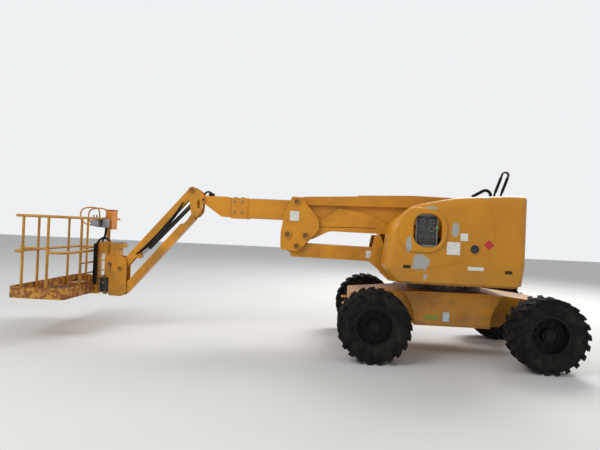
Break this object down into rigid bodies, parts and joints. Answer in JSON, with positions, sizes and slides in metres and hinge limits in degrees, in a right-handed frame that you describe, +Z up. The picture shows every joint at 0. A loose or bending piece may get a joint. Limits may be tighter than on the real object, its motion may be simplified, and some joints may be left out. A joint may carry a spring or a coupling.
{
  "type": "articulating boom lift",
  "caption": "Self-propelled articulating boom lift, stowed: lugged wheels, slewing turret with two hoods, folded parallel arms, telescopic boom, jib and railed basket.",
  "frame": {"origin": "on the ground, below the middle of the whole machine's length and width", "axes": "+X from the turret towards the basket, +Y to the machine's left, +Z up"},
  "size_m": [7.3353, 2.285, 2.5159],
  "materials": {
    "yellow_paint": "worn satin",
    "hood_moulding": "weathered satin",
    "rusty_paint": "chipped and rusty",
    "rim_paint": "dirty satin",
    "tyre_rubber": "dusty matte",
    "dark_steel": "oily satin",
    "grey_box": "satin",
    "orange_moulding": "faded satin",
    "bright_rod": "polished",
    "black_hose": "matte"
  },
  "bodies": {
    "chassis": {"chassis_frame": "yellow_paint", "slew_ring": "dark_steel", "front_axle": "dark_steel", "rear_axle": "dark_steel"},
    "knuckle_left": {"steering_knuckle_left": "dark_steel"},
    "knuckle_right": {"steering_knuckle_right": "dark_steel"},
    "wheel_front_left": {"tyre_front_left": "tyre_rubber", "rim_front_left": "rim_paint"},
    "wheel_front_right": {"tyre_front_right": "tyre_rubber", "rim_front_right": "rim_paint"},
    "wheel_rear_left": {"tyre_rear_left": "tyre_rubber", "rim_rear_left": "rim_paint"},
    "wheel_rear_right": {"tyre_rear_right": "tyre_rubber", "rim_rear_right": "rim_paint"},
    "turret": {"turret_frame": "yellow_paint", "counterweight": "yellow_paint", "engine_block": "dark_steel", "hydraulic_tank": "dark_steel", "control_panel": "grey_box"},
    "hood_left": {"hood_left": "hood_moulding"},
    "hood_right": {"hood_right": "hood_moulding"},
    "lower_arm": {"lower_arm": "yellow_paint"},
    "lower_link": {"lower_link": "yellow_paint"},
    "front_knuckle": {"front_knuckle": "yellow_paint"},
    "upper_arm": {"upper_arm": "yellow_paint"},
    "top_links": {"top_links": "yellow_paint"},
    "rear_upright": {"rear_upright": "yellow_paint", "tail_hoses": "black_hose"},
    "arm_cylinder": {"arm_cylinder": "dark_steel"},
    "arm_rod": {"arm_rod": "bright_rod"},
    "boom_outer": {"boom_outer": "yellow_paint"},
    "boom_inner": {"boom_inner": "yellow_paint"},
    "boom_cylinder": {"boom_cylinder": "dark_steel"},
    "boom_rod": {"boom_rod": "bright_rod"},
    "jib_bracket": {"jib_bracket": "yellow_paint"},
    "jib_arm": {"jib_arm": "yellow_paint"},
    "jib_link": {"jib_link": "yellow_paint"},
    "jib_cylinder": {"jib_cylinder": "dark_steel"},
    "jib_rod": {"jib_rod": "bright_rod"},
    "jib_head": {"jib_head": "yellow_paint", "rotator": "dark_steel"},
    "basket": {"basket_bracket": "yellow_paint", "basket_floor": "rusty_paint", "basket_rails": "yellow_paint", "control_console": "grey_box", "document_box": "orange_moulding"},
    "entry_bar": {"entry_bar": "yellow_paint"}
  },
  "joints": [
    {"name": "steer_left", "type": "hinge", "parent": "chassis", "child": "knuckle_left", "pos_m": [-1.12475, 0.7, 0.458], "axis": [0, 0, 1], "range_deg": [-30, 30]},
    {"name": "steer_right", "type": "hinge", "parent": "chassis", "child": "knuckle_right", "pos_m": [-1.12475, -0.7, 0.458], "axis": [0, 0, 1], "range_deg": [-30, 30]},
    {"name": "wheel_front_left_spin", "type": "hinge", "parent": "knuckle_left", "child": "wheel_front_left", "pos_m": [-1.12475, 0.96, 0.458], "axis": [0, 1, 0], "continuous": true},
    {"name": "wheel_front_right_spin", "type": "hinge", "parent": "knuckle_right", "child": "wheel_front_right", "pos_m": [-1.12475, -0.96, 0.458], "axis": [0, 1, 0], "continuous": true},
    {"name": "wheel_rear_left_spin", "type": "hinge", "parent": "chassis", "child": "wheel_rear_left", "pos_m": [-3.20975, 0.96, 0.458], "axis": [0, 1, 0], "continuous": true},
    {"name": "wheel_rear_right_spin", "type": "hinge", "parent": "chassis", "child": "wheel_rear_right", "pos_m": [-3.20975, -0.96, 0.458], "axis": [0, 1, 0], "continuous": true},
    {"name": "turret_slew", "type": "hinge", "parent": "chassis", "child": "turret", "pos_m": [-2.16725, 0, 0.93], "axis": [0, 0, 1], "continuous": true},
    {"name": "hood_left_lift", "type": "hinge", "parent": "turret", "child": "hood_left", "pos_m": [-2.16725, 0.425, 2.045], "axis": [1, 0, 0], "range_deg": [0, 60]},
    {"name": "hood_right_lift", "type": "hinge", "parent": "turret", "child": "hood_right", "pos_m": [-2.16725, -0.425, 2.045], "axis": [-1, 0, 0], "range_deg": [0, 60]},
    {"name": "arm_raise", "type": "hinge", "parent": "turret", "child": "lower_arm", "pos_m": [-2.18725, 0, 1.332], "axis": [0, -1, 0], "range_deg": [0, 60]},
    {"name": "lower_link_pivot", "type": "hinge", "parent": "turret", "child": "lower_link", "pos_m": [-2.15725, 0, 1.247], "axis": [0, -1, 0], "range_deg": [0, 60]},
    {"name": "front_knuckle_level", "type": "hinge", "parent": "lower_arm", "child": "front_knuckle", "pos_m": [-0.07325, 0, 1.362], "axis": [0, 1, 0], "range_deg": [0, 60]},
    {"name": "upper_arm_pivot", "type": "hinge", "parent": "front_knuckle", "child": "upper_arm", "pos_m": [-0.19325, 0, 1.513], "axis": [0, 1, 0], "range_deg": [0, 60]},
    {"name": "top_links_pivot", "type": "hinge", "parent": "front_knuckle", "child": "top_links", "pos_m": [-0.05625, 0, 1.984], "axis": [0, 1, 0], "range_deg": [0, 60]},
    {"name": "rear_upright_level", "type": "hinge", "parent": "upper_arm", "child": "rear_upright", "pos_m": [-2.58725, 0, 1.6], "axis": [0, -1, 0], "range_deg": [0, 60]},
    {"name": "arm_cylinder_pivot", "type": "hinge", "parent": "turret", "child": "arm_cylinder", "pos_m": [-2.03725, 0, 1.064], "axis": [0, -1, 0], "range_deg": [-0.1, 56.11]},
    {"name": "arm_rod_slide", "type": "slide", "parent": "arm_cylinder", "child": "arm_rod", "axis": [0.9594, 0, 0.2821], "range_m": [-0.001, 0.3062]},
    {"name": "boom_raise", "type": "hinge", "parent": "rear_upright", "child": "boom_outer", "pos_m": [-2.71725, 0, 1.93], "axis": [0, -1, 0], "range_deg": [0, 75]},
    {"name": "boom_cylinder_pivot", "type": "hinge", "parent": "rear_upright", "child": "boom_cylinder", "pos_m": [-2.53725, 0, 1.49], "axis": [0, -1, 0], "range_deg": [-0.1, 64.65]},
    {"name": "boom_rod_slide", "type": "slide", "parent": "boom_cylinder", "child": "boom_rod", "axis": [0.9792, 0, 0.203], "range_m": [-0.001, 0.6015]},
    {"name": "boom_extend", "type": "slide", "parent": "boom_outer", "child": "boom_inner", "axis": [1, 0, 0], "range_m": [0, 2.4]},
    {"name": "jib_bracket_level", "type": "hinge", "parent": "boom_inner", "child": "jib_bracket", "pos_m": [1.30275, 0, 1.96], "axis": [0, 1, 0], "range_deg": [0, 75]},
    {"name": "jib_raise", "type": "hinge", "parent": "jib_bracket", "child": "jib_arm", "pos_m": [1.49275, 0, 2.098], "axis": [0, -1, 0], "range_deg": [-20, 109]},
    {"name": "jib_link_pivot", "type": "hinge", "parent": "jib_bracket", "child": "jib_link", "pos_m": [1.44775, 0, 1.748], "axis": [0, -1, 0], "range_deg": [-20, 109]},
    {"name": "jib_head_level", "type": "hinge", "parent": "jib_arm", "child": "jib_head", "pos_m": [2.51575, 0, 0.91], "axis": [0, 1, 0], "range_deg": [-20, 109]},
    {"name": "jib_cylinder_pivot", "type": "hinge", "parent": "jib_bracket", "child": "jib_cylinder", "pos_m": [1.48775, 0, 1.908], "axis": [0, -1, 0], "range_deg": [-20.16, 109.45]},
    {"name": "jib_rod_slide", "type": "slide", "parent": "jib_cylinder", "child": "jib_rod", "axis": [0.6767, 0, -0.7363], "range_m": [-0.055, 0.2952]},
    {"name": "basket_turn", "type": "hinge", "parent": "jib_head", "child": "basket", "pos_m": [2.75775, 0, 0.658], "axis": [0, 0, 1], "range_deg": [-90, 90]},
    {"name": "entry_bar_lift", "type": "slide", "parent": "basket", "child": "entry_bar", "axis": [0, 0, 1], "range_m": [0, 0.3]}
  ],
  "couplings": [
    {"joint": "steer_right", "follows": "steer_left", "ratio": 1},
    {"joint": "lower_link_pivot", "follows": "arm_raise", "ratio": 1},
    {"joint": "front_knuckle_level", "follows": "arm_raise", "ratio": 1},
    {"joint": "upper_arm_pivot", "follows": "arm_raise", "ratio": 1},
    {"joint": "top_links_pivot", "follows": "arm_raise", "ratio": 1},
    {"joint": "rear_upright_level", "follows": "arm_raise", "ratio": 1},
    {"joint": "arm_cylinder_pivot", "follows": "arm_raise", "ratio": 0.9335},
    {"joint": "arm_rod_slide", "follows": "arm_raise", "m_per_rad": 0.29145},
    {"joint": "boom_cylinder_pivot", "follows": "boom_raise", "ratio": 0.8607},
    {"joint": "boom_rod_slide", "follows": "boom_raise", "m_per_rad": 0.45876},
    {"joint": "jib_bracket_level", "follows": "boom_raise", "ratio": 1},
    {"joint": "jib_link_pivot", "follows": "jib_raise", "ratio": 1},
    {"joint": "jib_head_level", "follows": "jib_raise", "ratio": 1},
    {"joint": "jib_cylinder_pivot", "follows": "jib_raise", "ratio": 1.0032},
    {"joint": "jib_rod_slide", "follows": "jib_raise", "m_per_rad": 0.15462}
  ]
}
